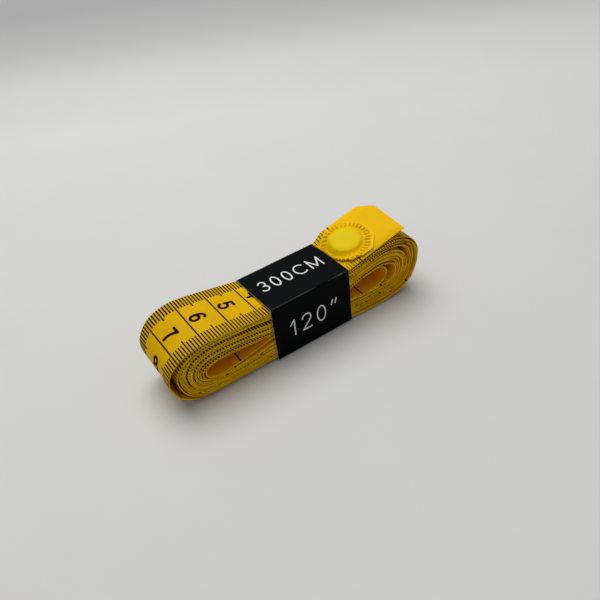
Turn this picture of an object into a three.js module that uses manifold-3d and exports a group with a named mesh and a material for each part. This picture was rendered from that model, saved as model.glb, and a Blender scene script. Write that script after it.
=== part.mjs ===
// Soft measuring tape, 20 mm wide and 300 cm long, rolled flat and held by a paper band.
// A press snap sits under a welded film cover near each end of the tape.
// Millimetres, +Z up. +X runs along the roll towards the outer end, +Y away from the near edge.
// The origin is the centre of the band's underside, where the roll stands on a table.
import * as THREE from 'three';
import { mergeVertices } from 'three/addons/utils/BufferGeometryUtils.js';
import Module from 'manifold-3d';

const wasm = await Module();
wasm.setup();

// Clearance between pieces that lie on each other, and the overrun of a cutting tool
const clearance = 0.3;
const overrun = 1.0;

// Printed tape
const tapeWidth = 20.0;
const tapeThickness = 0.4;

// Gap between one turn and the next, where the stacks pass each place of the roll. The real
// tape lies closer, in about 17 turns; this winding has fewer, so that each can be told apart.
const loops = 8;
const turnGaps = {
  core: 0.6,
  seat: 0.47,
  leftTop: 0.62,
  leftBottom: 0.5,
  leftSide: 1.04,
  leftPinchTop: 0.74,
  leftPinchBottom: 0.62,
  leftEnd: 0.9,
  rightTop: 0.78,
  rightBottom: 0.77,
  rightSide: 1.46,
  rightPinchTop: 0.5,
  rightPinchBottom: 0.95,
};

// Bows at the two ends of the roll, and the eyes inside their innermost turns.
// The right bow stands higher than the band, where the outer end lies on it.
const leftReach = 51.4;
const leftBowDepth = 10.2;
const leftEyeDepth = 2.4;
const rightReach = 45.4;
const rightBowDepth = 10.9;
const rightBowRise = 3.15;
const rightEyeDepth = 3.2;

// Paper band
const bandLength = 30.4;
const paperThickness = 0.25;
const glueThickness = 0.1;
const glueLength = 24.0;
const lapWidth = 10.0;
const lapStep = 1.5;
const foldRadius = 0.6;

// Inner end, in the middle of the roll
const innerSnapX = -0.9;
const innerTipLength = 12.4;

// Outer end: it leaves the band flat, then climbs, and leans towards the near edge
const outerEaseLength = 3.8;
const outerPitch = THREE.MathUtils.degToRad(13.4);
const outerLeanRise = 2.66;
const outerTipLength = 16.95;
const cornerClipLength = 4.2;
const cornerClipWidth = 4.1;

// Snap cap, and the post that rivets it through the tape
const capRadius = 5.6;
const capHeight = 0.75;
const capEdge = 0.2;
const capCrown = 0.9;
const postRadius = 1.0;
const rivetRadius = 1.5;
const rivetThickness = 0.25;

// Snap socket, its groove and its spring
const socketRadius = 4.2;
const socketHeight = 1.1;
const snapWeb = 0.35;
const snapEdge = 0.25;
const grooveDepth = 0.4;
const grooveHeight = 0.45;
const springWireRadius = 0.15;
const springOpening = THREE.MathUtils.degToRad(50);

// Snap stud
const studHeight = 1.35;
const studHeadRadius = 2.45;
const studHeadHeight = 0.55;
const studNeckDepth = 0.2;
const rivetPocket = 0.35;

// Welded film cover: a dome over the cap, and a ribbed flange round it with a torn edge
const filmThickness = 0.3;
const shoulderWidth = 1.25;
const shoulderDepth = 0.7;
const flangeAlong = 8.4;
const flangeAcross = 9.1;
const trimmedFlangeWidth = 0.3;
const coverSetback = 0.5;
const ribHeight = 0.38;
const ribInset = 0.45;
const jagDepth = 0.3;
const jagShares = [0.1, -0.7, 0.6, -0.2, 1, -0.9, 0.3, -0.4, 0.8, -1];

// Counts
const bowSteps = 7;
const weldRibs = 30;
const stepsPerRib = 3;
const shoulderSteps = 3;
const easeSteps = 5;
const foldSteps = 3;
const roundSides = 32;
const holeSides = 16;

// Heights along a snap's axis, measured from the top face of the tape it sits on
const capBase = clearance;
const capTop = capBase + capHeight;
const domeInside = capTop + clearance;
const domeTop = domeInside + filmThickness;
const flangeTop = clearance + filmThickness;
const snapBase = -tapeThickness - clearance;
const webBase = snapBase - snapWeb;
const rivetTop = webBase - clearance;
const rivetBase = rivetTop - rivetThickness;
const socketBase = snapBase - socketHeight;
const studBase = snapBase - studHeight;
const studPlateBase = snapBase - snapWeb;

// Radii about a snap's axis
const domeBore = capRadius + clearance;
const domeRadius = domeBore + filmThickness;
const flangeReach = flangeAlong + jagDepth;
const socketBore = studHeadRadius + springWireRadius;

// Heights of the roll where the band holds it, built up from the band's laps, the turns
// below, the inner end with its snap, and the turns above
const halfTape = tapeThickness / 2;
const rollBottom = 2 * paperThickness + glueThickness + clearance;
const bottomLine = rollBottom + halfTape;
const coreBottom = bottomLine + (loops - 1) * (tapeThickness + turnGaps.core);
const coreLevel = coreBottom + clearance - studBase;
const coreTop = coreLevel + tapeThickness + domeTop + clearance;
const topLine = coreTop + loops * (tapeThickness + turnGaps.core);
const rollTop = topLine + halfTape;

// Places along the roll
const bandHalf = bandLength / 2;
const coreLeft = innerSnapX - flangeReach - clearance;
const coreRight = innerSnapX + flangeReach + clearance;
const outerStartX = bandHalf + 2 * clearance;
const trimReach = domeRadius + trimmedFlangeWidth;
const outerSnapX = outerStartX + coverSetback + trimReach * Math.cos(outerPitch);
const outerTipX = outerSnapX + outerTipLength;

const colours = {
  tape: 0xe2b60f,
  film: 0xe3c01c,
  metal: 0xb9b9b4,
  steel: 0x8d8f92,
  paper: 0x141416,
  glue: 0xcfc7b4,
};

function material(name, roughness, metalness) {
  return new THREE.MeshStandardMaterial({ color: colours[name], roughness, metalness });
}

// A closed mesh that keeps only its positions, with shared corners merged
function closed(geometry) {
  const bare = geometry.clone();
  bare.deleteAttribute('normal');
  bare.deleteAttribute('uv');
  return mergeVertices(bare, 1e-5);
}

function toSolid(geometry) {
  const merged = closed(geometry);
  return new wasm.Manifold(new wasm.Mesh({
    numProp: 3,
    vertProperties: new Float32Array(merged.attributes.position.array),
    triVerts: new Uint32Array(merged.index.array),
  }));
}

function cut(geometry, tool) {
  const mesh = toSolid(geometry).subtract(toSolid(tool)).getMesh();
  const result = new THREE.BufferGeometry();
  result.setAttribute('position', new THREE.BufferAttribute(mesh.vertProperties, 3));
  result.setIndex(new THREE.BufferAttribute(mesh.triVerts, 1));
  return result;
}

function fromTriangles(positions, indices) {
  const geometry = new THREE.BufferGeometry();
  geometry.setAttribute('position', new THREE.Float32BufferAttribute(positions, 3));
  geometry.setIndex(indices);
  return geometry;
}

// Both faces of a strip that follows a centre line at an even thickness. The line turns
// to the left as it goes, so its left face is the inside of the roll or sleeve.
function stripFaces(line, thickness) {
  const inside = [];
  const outside = [];
  line.forEach((point, i) => {
    const before = line[Math.max(i - 1, 0)];
    const after = line[Math.min(i + 1, line.length - 1)];
    const into = point.clone().sub(before).normalize();
    const out = after.clone().sub(point).normalize();
    if (i === 0) into.copy(out);
    if (i === line.length - 1) out.copy(into);
    const along = into.clone().add(out).normalize();
    const mitre = thickness / 2 / along.dot(into);
    const normal = new THREE.Vector2(-along.y, along.x).multiplyScalar(mitre);
    inside.push(point.clone().add(normal));
    outside.push(point.clone().sub(normal));
  });
  return { inside, outside };
}

// A ribbon of four-sided sections, each given as its four corners in order
function ribbonFromSections(sections) {
  const positions = sections.flat(2);
  const indices = [];
  for (let i = 0; i + 1 < sections.length; i++) {
    for (let j = 0; j < 4; j++) {
      const a = 4 * i + j;
      const b = 4 * i + (j + 1) % 4;
      indices.push(a, b, b + 4, a, b + 4, a + 4);
    }
  }
  const last = 4 * (sections.length - 1);
  indices.push(0, 2, 1, 0, 3, 2);
  indices.push(last, last + 1, last + 2, last, last + 2, last + 3);
  return fromTriangles(positions, indices);
}

const at = (x, z) => new THREE.Vector2(x, z);

// Half an ellipse of centre-line points round one end of the roll
function bow(centreX, topZ, bottomZ, depth, startAngle) {
  const points = [];
  for (let i = 0; i <= bowSteps; i++) {
    const angle = startAngle + Math.PI * i / bowSteps;
    const x = centreX + depth * Math.cos(angle);
    const z = (topZ + bottomZ) / 2 + (topZ - bottomZ) / 2 * Math.sin(angle);
    points.push(at(x, z));
  }
  return points;
}

// A place that the turns pass, in order from the outermost. The turns lie evenly between
// the outer place and the inner one.
function station(outer, inner, passes, firstPass = 0) {
  return { outer, inner, passes, firstPass };
}

// A place where the turns are stacked straight up or down, with a given gap between them
function stack(x, outerZ, direction, gap, passes, firstPass = 0) {
  const innerZ = outerZ + direction * passes * (tapeThickness + gap);
  return station(at(x, outerZ), at(x, innerZ), passes, firstPass);
}

// The two ends of the roll: an outer bow, and the bow of the innermost turn round the eye
function leftBow(passes) {
  const eyeTop = topLine - passes * (tapeThickness + turnGaps.leftTop);
  const eyeBottom = bottomLine + passes * (tapeThickness + turnGaps.leftBottom);
  const eyeReach = leftReach - halfTape - passes * (tapeThickness + turnGaps.leftSide);
  const outer = bow(-leftReach + leftBowDepth, topLine, bottomLine,
    leftBowDepth - halfTape, Math.PI / 2);
  const inner = bow(-eyeReach + leftEyeDepth, eyeTop, eyeBottom,
    leftEyeDepth, Math.PI / 2);
  return outer.map((place, i) => station(place, inner[i], passes));
}

function rightBow(passes) {
  const bowTop = topLine + rightBowRise;
  const eyeTop = bowTop - passes * (tapeThickness + turnGaps.rightTop);
  const eyeBottom = bottomLine + passes * (tapeThickness + turnGaps.rightBottom);
  const eyeReach = rightReach - halfTape - passes * (tapeThickness + turnGaps.rightSide);
  const outer = bow(rightReach - rightBowDepth, bowTop, bottomLine,
    rightBowDepth - halfTape, -Math.PI / 2);
  const inner = bow(eyeReach - rightEyeDepth, eyeTop, eyeBottom,
    rightEyeDepth, -Math.PI / 2);
  return outer.map((place, i) => station(place, inner[i], passes));
}

// The 24 stations of a loop: from the band's right edge along the top, round the left bow,
// back along the bottom, round the right bow, and down to the seat under the outer snap
function loopStations() {
  const under = loops - 1;
  const seatLine = topLine + tapeThickness + turnGaps.seat;
  return [
    stack(bandHalf, topLine, -1, turnGaps.rightPinchTop, loops),
    stack(coreLeft, topLine, -1, turnGaps.core, loops),
    stack(-bandHalf, topLine, -1, turnGaps.leftPinchTop, loops),
    ...leftBow(loops),
    stack(-bandHalf, bottomLine, 1, turnGaps.leftPinchBottom, under),
    stack(coreLeft, bottomLine, 1, turnGaps.core, under),
    stack(coreRight, bottomLine, 1, turnGaps.core, under),
    stack(bandHalf, bottomLine, 1, turnGaps.rightPinchBottom, under),
    ...rightBow(under),
    stack(outerSnapX, seatLine, -1, turnGaps.seat, loops, 1),
  ];
}

// Centre line of the whole winding, from the band's right edge in to the inner tip
function windingLine() {
  const stations = loopStations();
  const line = [];
  for (let pass = 0; pass <= loops; pass++) {
    for (const { outer, inner, passes, firstPass } of stations) {
      const level = pass + firstPass;
      if (level > passes) break;
      line.push(outer.clone().lerp(inner, level / passes));
    }
  }
  const lastPass = bottomLine + (loops - 1) * (tapeThickness + turnGaps.leftPinchBottom);
  line.push(at(-bandHalf, lastPass + tapeThickness + turnGaps.leftEnd));
  line.push(at(coreLeft, coreLevel));
  line.push(at(innerSnapX + innerTipLength, coreLevel));
  return line;
}

// Least distance between the inside of one turn of the ribbon and the outside of the next
function leastGap(faces) {
  const stepsPerLoop = loopStations().length;
  const samples = 4;
  let least = Infinity;
  for (let i = 0; i + 1 < faces.inside.length; i++) {
    for (let k = 0; k < samples; k++) {
      const point = faces.inside[i].clone().lerp(faces.inside[i + 1], k / samples);
      for (let j = 0; j + 1 < faces.outside.length; j++) {
        if (Math.abs(i - j) < stepsPerLoop / 2) continue;
        const start = faces.outside[j];
        const edge = faces.outside[j + 1].clone().sub(start);
        const along = point.clone().sub(start).dot(edge) / edge.lengthSq();
        const foot = start.clone().addScaledVector(edge, THREE.MathUtils.clamp(along, 0, 1));
        least = Math.min(least, point.distanceTo(foot));
      }
    }
  }
  return least;
}

function snapHole() {
  const hole = new THREE.CylinderGeometry(
    postRadius + clearance, postRadius + clearance, tapeThickness + 2 * overrun, holeSides);
  hole.rotateX(Math.PI / 2);
  return hole;
}

function tapeWinding() {
  const faces = stripFaces(windingLine(), tapeThickness);
  console.log(`tape_winding: least gap to itself ${leastGap(faces).toFixed(3)} mm`);
  const half = tapeWidth / 2;
  const sections = faces.inside.map((inside, i) => {
    const outside = faces.outside[i];
    return [
      [inside.x, -half, inside.y],
      [outside.x, -half, outside.y],
      [outside.x, half, outside.y],
      [inside.x, half, inside.y],
    ];
  });
  const hole = snapHole();
  hole.translate(innerSnapX, 0, coreLevel);
  return cut(ribbonFromSections(sections), hole);
}

// Directions of the outer end where it lies flat and leaning, past the ease
const outerSlope = Math.tan(outerPitch);
const outerLean = outerLeanRise / tapeWidth;
const outerNormal = new THREE.Vector3(-outerSlope, -outerLean, 1).normalize();
const outerAlong = new THREE.Vector3(1, 0, outerSlope).normalize();
const outerAcross = outerNormal.clone().cross(outerAlong);

// Top face of the turn that the outer end lies over
function turnTopAt(x) {
  const pinchTop = rollTop - tapeThickness - turnGaps.rightPinchTop;
  const bowX = rightReach - rightBowDepth;
  if (x < outerSnapX) return THREE.MathUtils.mapLinear(x, bandHalf, outerSnapX, pinchTop, rollTop);
  return THREE.MathUtils.mapLinear(x, outerSnapX, bowX, rollTop, rollTop + rightBowRise);
}

// Height of the tape's top face at the outer snap, whose socket stands on the turn below
function outerSnapHeight() {
  let height = -Infinity;
  for (let i = 0; i < roundSides; i++) {
    const angle = 2 * Math.PI * i / roundSides;
    const rim = outerNormal.clone().multiplyScalar(socketBase)
      .addScaledVector(outerAlong, socketRadius * Math.cos(angle))
      .addScaledVector(outerAcross, socketRadius * Math.sin(angle));
    height = Math.max(height, turnTopAt(outerSnapX + rim.x) + clearance - rim.z);
  }
  return height;
}

const outerSnapZ = outerSnapHeight();

// Top face of the outer end: flat at the band, then one leaning plane through the snap
function outerTop(x, y) {
  const ease = THREE.MathUtils.smoothstep(x, outerStartX, outerStartX + outerEaseLength);
  const plane = outerSnapZ + outerSlope * (x - outerSnapX) + outerLean * y;
  return THREE.MathUtils.lerp(rollTop, plane, ease);
}

function tapeFreeEnd() {
  const half = tapeWidth / 2;
  const places = [];
  for (let i = 0; i <= easeSteps; i++) {
    places.push({ x: outerStartX + outerEaseLength * i / easeSteps, far: half });
  }
  places.push({ x: outerTipX - cornerClipLength, far: half });
  places.push({ x: outerTipX, far: half - cornerClipWidth });
  const sections = places.map(({ x, far }) => [
    [x, -half, outerTop(x, -half)],
    [x, -half, outerTop(x, -half) - tapeThickness],
    [x, far, outerTop(x, far) - tapeThickness],
    [x, far, outerTop(x, far)],
  ]);
  const hole = snapHole();
  hole.applyMatrix4(outerSnapPlace());
  return cut(ribbonFromSections(sections), hole);
}

// Place of the outer snap: its axis stands square on the tape's leaning top face
function outerSnapPlace() {
  const place = new THREE.Matrix4().makeBasis(outerAlong, outerAcross, outerNormal);
  return place.setPosition(outerSnapX, 0, outerSnapZ);
}

// Turned piece about the snap's axis, from radius and height pairs; height 0 is the tape's top
function turned(profile) {
  const points = profile.map(([radius, height]) => new THREE.Vector2(radius, height));
  const geometry = new THREE.LatheGeometry(points, roundSides);
  geometry.rotateX(Math.PI / 2);
  return geometry;
}

function snapCap() {
  return turned([
    [0, rivetBase],
    [rivetRadius, rivetBase],
    [rivetRadius, rivetTop],
    [postRadius, rivetTop],
    [postRadius, capBase],
    [capRadius - capEdge, capBase],
    [capRadius, capBase + capEdge],
    [capRadius, capTop - 2 * capEdge],
    [capRadius - capEdge, capTop - capEdge / 2],
    [capRadius - capCrown, capTop],
    [0, capTop],
  ]);
}

function snapSocket() {
  const bore = postRadius + clearance;
  const grooveMiddle = (webBase + socketBase) / 2;
  const grooveTop = grooveMiddle + grooveHeight / 2;
  const grooveBase = grooveMiddle - grooveHeight / 2;
  return turned([
    [bore, snapBase],
    [bore, webBase],
    [socketBore, webBase],
    [socketBore, grooveTop],
    [socketBore + grooveDepth, grooveTop],
    [socketBore + grooveDepth, grooveBase],
    [socketBore, grooveBase],
    [socketBore + snapEdge / 2, socketBase],
    [socketRadius - snapEdge, socketBase],
    [socketRadius, socketBase + snapEdge],
    [socketRadius, snapBase - snapEdge],
    [socketRadius - snapEdge, snapBase],
    [bore, snapBase],
  ]);
}

// Open wire ring that lies in the socket's groove and grips the stud's head
class WireRing extends THREE.Curve {
  getPoint(share, target = new THREE.Vector3()) {
    const angle = springOpening / 2 + share * (2 * Math.PI - springOpening);
    const radius = socketBore;
    return target.set(radius * Math.cos(angle), radius * Math.sin(angle), 0);
  }
}

function snapSpring() {
  const section = new THREE.Shape();
  section.absarc(0, 0, springWireRadius, 0, 2 * Math.PI);
  const geometry = new THREE.ExtrudeGeometry(section, {
    steps: roundSides,
    curveSegments: holeSides / 4,
    extrudePath: new WireRing(),
  });
  geometry.translate(0, 0, (webBase + socketBase) / 2);
  return geometry;
}

function snapStud() {
  const bore = postRadius + clearance;
  const pocket = rivetRadius + rivetPocket;
  const headTop = studBase + studHeadHeight;
  const neck = studHeadRadius - studNeckDepth;
  return turned([
    [bore, snapBase],
    [bore, webBase],
    [pocket, webBase],
    [pocket, studBase],
    [studHeadRadius - snapEdge, studBase],
    [studHeadRadius, studBase + snapEdge],
    [studHeadRadius, headTop - snapEdge / 2],
    [neck, headTop],
    [neck, studPlateBase],
    [socketRadius, studPlateBase],
    [socketRadius, snapBase - snapEdge / 2],
    [socketRadius - snapEdge, snapBase],
    [bore, snapBase],
  ]);
}

// Round shoulder of the dome, from its flat top out to its side
function shoulder(radius, top) {
  const points = [];
  for (let i = 0; i <= shoulderSteps; i++) {
    const angle = i / shoulderSteps * Math.PI / 2;
    points.push([
      radius - shoulderWidth + shoulderWidth * Math.sin(angle),
      top - shoulderDepth + shoulderDepth * Math.cos(angle),
    ]);
  }
  return points;
}

// Welded film cover. Each rib of the weld is a ridge that runs out to the flange's torn edge.
// Towards the band the flange is trimmed at trim from the axis.
function snapCover(trim) {
  const sides = weldRibs * stepsPerRib;
  const profiles = [];
  for (let side = 0; side < sides; side++) {
    const angle = 2 * Math.PI * side / sides;
    const onRidge = side % stepsPerRib === 1;
    const jagShare = jagShares[Math.floor(side / stepsPerRib) % jagShares.length];
    const towardsBand = -Math.cos(angle);
    const limit = towardsBand > 0 ? trim / towardsBand : Infinity;
    const oval = 1 / Math.hypot(Math.cos(angle) / flangeAlong, Math.sin(angle) / flangeAcross);
    const rim = Math.min(oval + jagDepth * jagShare, limit);
    const ribEnd = Math.max(rim - ribInset, (rim + domeRadius) / 2);
    const crest = onRidge ? flangeTop + ribHeight : flangeTop;
    const profile = [
      [0, domeTop],
      ...shoulder(domeRadius, domeTop),
      [domeRadius, flangeTop + ribHeight / 2],
      [(domeRadius + ribEnd) / 2, crest],
      [ribEnd, crest],
      [rim, clearance + filmThickness / 2],
      [rim, clearance],
      [domeBore, clearance],
      ...shoulder(domeBore, domeInside).reverse(),
      [0, domeInside],
    ];
    profiles.push(profile.map(([radius, height]) => (
      [radius * Math.cos(angle), radius * Math.sin(angle), height])));
  }
  return sweptProfiles(profiles);
}

// Closed shell through profiles that stand round an axis and start and end on it
function sweptProfiles(profiles) {
  const rings = profiles[0].length;
  const indices = [];
  for (let side = 0; side < profiles.length; side++) {
    const here = side * rings;
    const next = (side + 1) % profiles.length * rings;
    for (let ring = 0; ring + 1 < rings; ring++) {
      if (ring > 0) indices.push(here + ring, next + ring + 1, next + ring);
      if (ring + 2 < rings) indices.push(here + ring, here + ring + 1, next + ring + 1);
    }
  }
  return closed(fromTriangles(profiles.flat(2), indices));
}

// Paper band: one strip folded round the roll, its ends lapped and glued on the underside.
// The line is drawn in the YZ plane, from the inner lap round to the outer lap.
function bandLine() {
  const side = Math.max(tapeWidth / 2, flangeAcross + jagDepth) + clearance + paperThickness / 2;
  const low = paperThickness / 2;
  const high = rollTop + clearance + paperThickness / 2;
  const lapLevel = low + paperThickness + glueThickness;
  const line = [
    at(lapWidth / 2, lapLevel),
    at(-lapWidth / 2, lapLevel),
    at(-lapWidth / 2 - lapStep, low),
  ];
  const folds = [
    { y: foldRadius - side, z: low + foldRadius, start: -Math.PI / 2 },
    { y: foldRadius - side, z: high - foldRadius, start: Math.PI },
    { y: side - foldRadius, z: high - foldRadius, start: Math.PI / 2 },
    { y: side - foldRadius, z: low + foldRadius, start: 0 },
  ];
  for (const { y, z, start } of folds) {
    for (let i = 0; i <= foldSteps; i++) {
      const angle = start - i / foldSteps * Math.PI / 2;
      line.push(at(y + foldRadius * Math.cos(angle), z + foldRadius * Math.sin(angle)));
    }
  }
  line.push(at(-lapWidth / 2, low));
  return line;
}

function paperBand() {
  const faces = stripFaces(bandLine(), paperThickness);
  const outline = new THREE.Shape([...faces.inside, ...faces.outside.reverse()]);
  const geometry = new THREE.ExtrudeGeometry(outline, { depth: bandLength, bevelEnabled: false });
  geometry.applyMatrix4(new THREE.Matrix4().makeBasis(
    new THREE.Vector3(0, 1, 0), new THREE.Vector3(0, 0, 1), new THREE.Vector3(1, 0, 0)));
  geometry.translate(-bandHalf, 0, 0);
  return geometry;
}

function bandGlueStrip() {
  const geometry = new THREE.BoxGeometry(glueLength, lapWidth - 2 * clearance, glueThickness);
  geometry.translate(0, 0, paperThickness + glueThickness / 2);
  return geometry;
}

const group = new THREE.Group();

function add(parent, name, geometry, finish) {
  const mesh = new THREE.Mesh(geometry, finish);
  mesh.name = name;
  parent.add(mesh);
}

const tapeFinish = material('tape', 0.42, 0);
const filmFinish = material('film', 0.32, 0);
const metalFinish = material('metal', 0.3, 0.9);
const steelFinish = material('steel', 0.25, 1);
const paperFinish = material('paper', 0.55, 0);
const glueFinish = material('glue', 0.7, 0);

add(group, 'tape_winding', tapeWinding(), tapeFinish);
add(group, 'tape_free_end', tapeFreeEnd(), tapeFinish);

const outerSnap = new THREE.Group();
outerSnap.applyMatrix4(outerSnapPlace());
group.add(outerSnap);
add(outerSnap, 'outer_end_cover', snapCover(trimReach), filmFinish);
add(outerSnap, 'outer_snap_cap', snapCap(), metalFinish);
add(outerSnap, 'outer_snap_socket', snapSocket(), metalFinish);
add(outerSnap, 'outer_snap_spring', snapSpring(), steelFinish);

const innerSnap = new THREE.Group();
innerSnap.position.set(innerSnapX, 0, coreLevel + halfTape);
group.add(innerSnap);
add(innerSnap, 'inner_end_cover', snapCover(flangeReach), filmFinish);
add(innerSnap, 'inner_snap_cap', snapCap(), metalFinish);
add(innerSnap, 'inner_snap_stud', snapStud(), metalFinish);

add(group, 'paper_band', paperBand(), paperFinish);
add(group, 'band_glue_strip', bandGlueStrip(), glueFinish);

export default group;
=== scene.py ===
import bisect
import math
import random

import bpy
from mathutils import Matrix, Vector, noise
from mathutils.geometry import delaunay_2d_cdt


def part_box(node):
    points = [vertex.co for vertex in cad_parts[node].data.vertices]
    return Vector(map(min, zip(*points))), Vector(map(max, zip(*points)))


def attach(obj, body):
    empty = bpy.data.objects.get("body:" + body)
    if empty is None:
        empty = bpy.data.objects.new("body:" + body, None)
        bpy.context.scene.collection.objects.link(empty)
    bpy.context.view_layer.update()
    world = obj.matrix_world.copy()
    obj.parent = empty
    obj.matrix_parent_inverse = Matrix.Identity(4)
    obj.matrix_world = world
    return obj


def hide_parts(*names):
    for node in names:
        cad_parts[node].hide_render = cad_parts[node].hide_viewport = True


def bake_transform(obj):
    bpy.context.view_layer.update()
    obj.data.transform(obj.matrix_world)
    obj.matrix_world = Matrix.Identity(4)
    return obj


# A soft measuring tape, rolled flat in a black paper band.
# Lengths are in millimetres here, and each mesh is scaled to metres as it is made.
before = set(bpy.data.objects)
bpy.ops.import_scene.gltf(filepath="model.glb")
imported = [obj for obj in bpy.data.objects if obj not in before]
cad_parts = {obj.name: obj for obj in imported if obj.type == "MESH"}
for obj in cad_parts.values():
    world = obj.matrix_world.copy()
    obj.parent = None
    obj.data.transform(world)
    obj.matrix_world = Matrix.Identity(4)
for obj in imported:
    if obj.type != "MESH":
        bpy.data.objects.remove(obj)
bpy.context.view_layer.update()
mm = 0.001
print("frame loaded:", len(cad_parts), "CAD nodes")


# Small helpers

def smooth(value, start, end):
    # from 0 at start to 1 at end, without a corner
    share = min(max((value - start) / (end - start), 0), 1)
    return share * share * (3 - 2 * share)


def screenColour(red, green, blue):
    # 0 to 255 as seen on screen, turned into linear light
    channels = [((c / 255 + 0.055) / 1.055) ** 2.4 for c in (red, green, blue)]
    return (*channels, 1)


def directionAt(line, i):
    # which way a line of points runs at one of them
    return (line[min(i + 1, len(line) - 1)] - line[max(i - 1, 0)]).normalized()


def evenlyTo(start, end, step):
    # points on the way from start to end, none further apart than step
    end = Vector(end)
    count = max(1, math.ceil((end - start).length / step))
    return [start.lerp(end, i / count) for i in range(1, count + 1)]


def newMesh(name, points, faces, materials, faceMaterials=None, sharpAngle=50):
    mesh = bpy.data.meshes.new(name)
    mesh.from_pydata([Vector(p) * mm for p in points], [], faces)
    for material in materials:
        mesh.materials.append(material)
    if faceMaterials:
        mesh.polygons.foreach_set("material_index", faceMaterials)
    mesh.shade_smooth()
    mesh.set_sharp_from_angle(angle=math.radians(sharpAngle))
    mesh.validate()
    piece = bpy.data.objects.new(name, mesh)
    bpy.context.scene.collection.objects.link(piece)
    return piece


# Camera, at the photograph's view

cameraView = {
    "azimuth": -30.06,      # degrees
    "elevation": 38.85,
    "roll": -7.69,
    "distance": 215.14,
    "target": (0, 0, 10),
    "lens": 38.4,
    "sensor": 36.0,
    "shift": (0.0076, 0.0036),
    "clip": (0.005, 20),    # metres
}


def placeCamera(view):
    azimuth, elevation, roll = (math.radians(view[k]) for k in ("azimuth", "elevation", "roll"))
    back = Vector((math.sin(azimuth) * math.cos(elevation),
                   -math.cos(azimuth) * math.cos(elevation), math.sin(elevation)))
    right = Vector((0, 0, 1)).cross(back).normalized()
    up = back.cross(right)
    rolledRight = right * math.cos(roll) + up * math.sin(roll)
    rolledUp = up * math.cos(roll) - right * math.sin(roll)
    place = Matrix((rolledRight, rolledUp, back)).transposed().to_4x4()
    place.translation = (Vector(view["target"]) + back * view["distance"]) * mm
    lens = bpy.data.cameras.new("photoCamera")
    lens.lens, lens.sensor_width = view["lens"], view["sensor"]
    lens.shift_x, lens.shift_y = view["shift"]
    lens.clip_start, lens.clip_end = view["clip"]
    camera = bpy.data.objects.new("photoCamera", lens)
    camera.matrix_world = place
    bpy.context.scene.collection.objects.link(camera)
    bpy.context.scene.camera = camera


placeCamera(cameraView)
print("camera placed")


# Materials

finishes = {                # the darker and lighter colour of each, as seen on screen
    "tape_vinyl": ((217, 170, 0), (229, 182, 2)),
    "tape_plain_end": ((240, 186, 0), (246, 194, 1)),
    # the reverse is the same vinyl as the face, painted more orange: a painted glow of the light that bounces
    # between the turns inside the roll
    "tape_reverse_painted_glow": ((222, 152, 0), (232, 162, 1)),
    # partly the cut edge's own tint, partly painted light: made lighter than the face to stand in for light on
    # the front-facing edges
    "tape_cut_edge_painted_light": ((210, 158, 10), (253, 210, 20)),
    "tape_ink": ((33, 10, 1), (52, 21, 3)),
    "band_white_ink": ((218, 218, 216), (242, 242, 240)),
    "cover_film": ((226, 176, 0), (242, 198, 0)),
    "band_paper": ((5, 7, 8), (13, 15, 16)),
    "band_paper_core": ((176, 172, 164), (228, 225, 216)),
    "snap_nickel": ((150, 150, 146), (196, 196, 190)),
    "snap_spring_steel": ((122, 124, 128), (170, 172, 176)),
    "band_glue": ((186, 176, 150), (214, 206, 184)),
}
filmOverCap = (232, 200, 4)
# grey of the band's upper folds: partly rubbed wear, partly a painted sheen
paperWornAndSheen = (122, 122, 122)
foldWearAndSheen = (0.46, 0.62)     # the folds are rubbed, and carry a painted sheen, within this distance, which fades to nothing
noiseRange = (0.3, 0.7)     # most of a noise's values lie between these


def startMaterial(name, roughness, specular=0.5):
    material = bpy.data.materials.new(name)
    material.use_nodes = True
    tree = material.node_tree
    shader = tree.nodes["Principled BSDF"]
    shader.inputs["Roughness"].default_value = roughness
    shader.inputs["Specular IOR Level"].default_value = specular
    return material, tree, shader


def shadesOf(name):
    return [screenColour(*colour) for colour in finishes[name]]


def addNode(tree, kind, values=None, **settings):
    node = tree.nodes.new(kind)
    for key, value in settings.items():
        setattr(node, key, value)
    for key, value in (values or {}).items():
        node.inputs[key].default_value = value
    return node


def objectPlace(tree):
    return tree.nodes.new("ShaderNodeTexCoord").outputs["Object"]


def tapePlace(tree):
    # millimetres along, across and above the tape, kept on each point of it
    return addNode(tree, "ShaderNodeAttribute", attribute_name="tapePlace").outputs["Vector"]


def splitOf(tree, place):
    node = tree.nodes.new("ShaderNodeSeparateXYZ")
    tree.links.new(place, node.inputs["Vector"])
    return node.outputs


def noiseOf(tree, place, scale, detail=3.0, roughness=0.55):
    node = addNode(tree, "ShaderNodeTexNoise",
                   {"Scale": scale, "Detail": detail, "Roughness": roughness})
    tree.links.new(place, node.inputs["Vector"])
    return node.outputs["Fac"]


def rampOf(tree, factor, low, high, darker, lighter):
    ramp = tree.nodes.new("ShaderNodeValToRGB")
    for stop, spot, colour in zip(ramp.color_ramp.elements, (low, high), (darker, lighter)):
        stop.position, stop.color = spot, colour
    tree.links.new(factor, ramp.inputs["Fac"])
    return ramp.outputs["Color"]


def spreadOf(tree, factor, low, high, least, most):
    node = addNode(tree, "ShaderNodeMapRange",
                   {"From Min": low, "From Max": high, "To Min": least, "To Max": most})
    tree.links.new(factor, node.inputs["Value"])
    return node.outputs["Result"]


def mathOf(tree, operation, first, second):
    node = addNode(tree, "ShaderNodeMath", operation=operation)
    for socket, value in zip(node.inputs, (first, second)):
        if isinstance(value, (int, float)):
            socket.default_value = value
        else:
            tree.links.new(value, socket)
    return node.outputs["Value"]


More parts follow.
